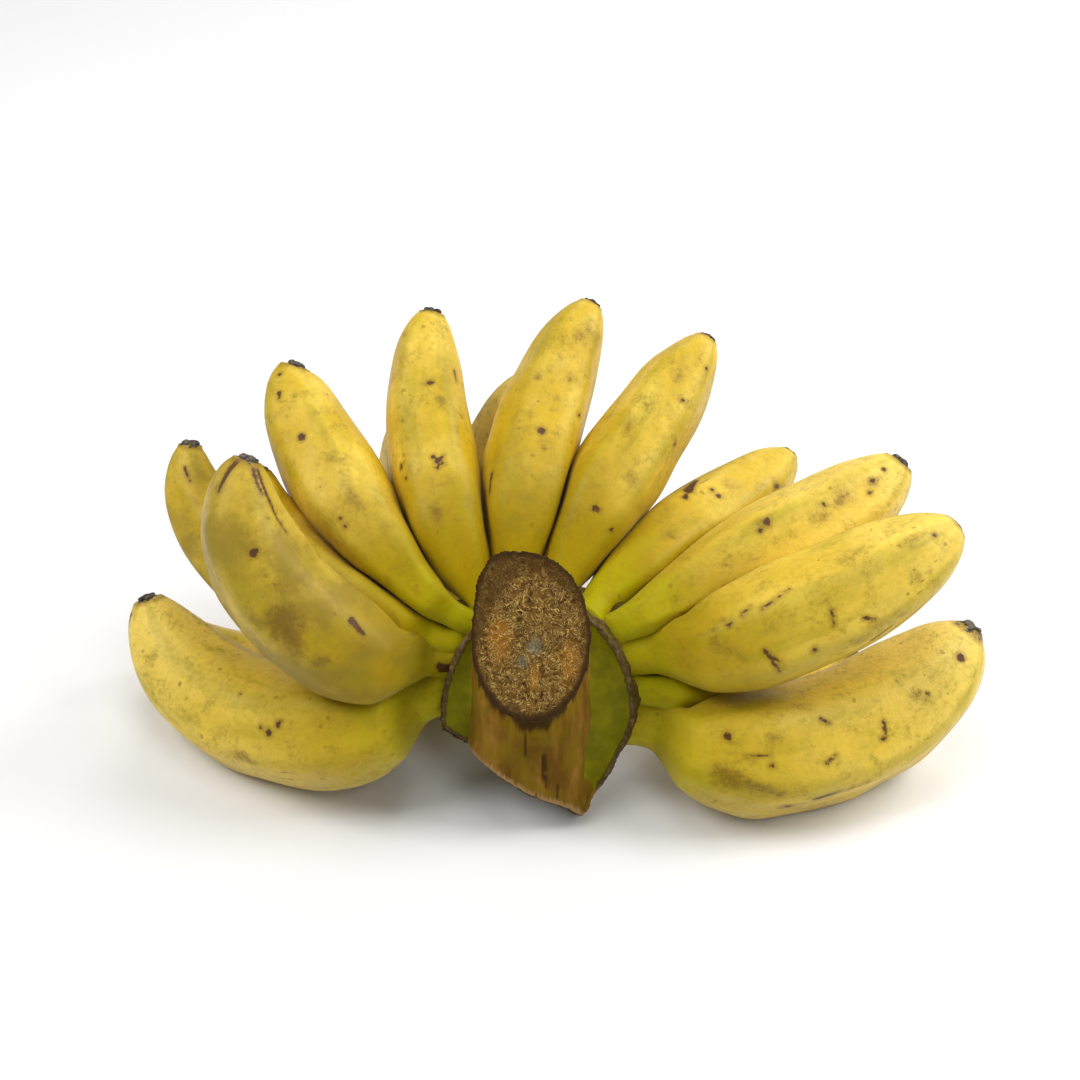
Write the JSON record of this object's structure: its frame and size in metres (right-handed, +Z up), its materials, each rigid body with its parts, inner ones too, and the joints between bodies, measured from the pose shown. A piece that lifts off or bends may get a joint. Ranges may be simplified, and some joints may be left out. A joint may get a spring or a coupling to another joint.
{
  "type": "hand of wild bananas",
  "caption": "Whole hand of small ripe bananas in two rows on a sawn piece of bunch stalk, lying on its lower fingers with the cut stalk to the front.",
  "frame": {"origin": "bottom centre of the bounding box, on the ground", "axes": "+Z up, -Y to the front, where the cut stalk is; +X along the width of the hand"},
  "size_m": [0.26, 0.1302, 0.1098],
  "materials": {
    "peel": "waxy ripe yellow peel with green necks and brown specks",
    "crown": "dry, fibrous brown-green stalk"
  },
  "bodies": {
    "root": {"crown": "crown", "finger_a1": "peel", "finger_a2": "peel", "finger_a3": "peel", "finger_a4": "peel", "finger_a5": "peel", "finger_a6": "peel", "finger_a7": "peel", "finger_a8": "peel", "finger_a9": "peel", "finger_b1": "peel", "finger_b2": "peel", "finger_b3": "peel", "finger_b4": "peel", "finger_b5": "peel", "finger_b6": "peel", "finger_b7": "peel"}
  },
  "joints": []
}
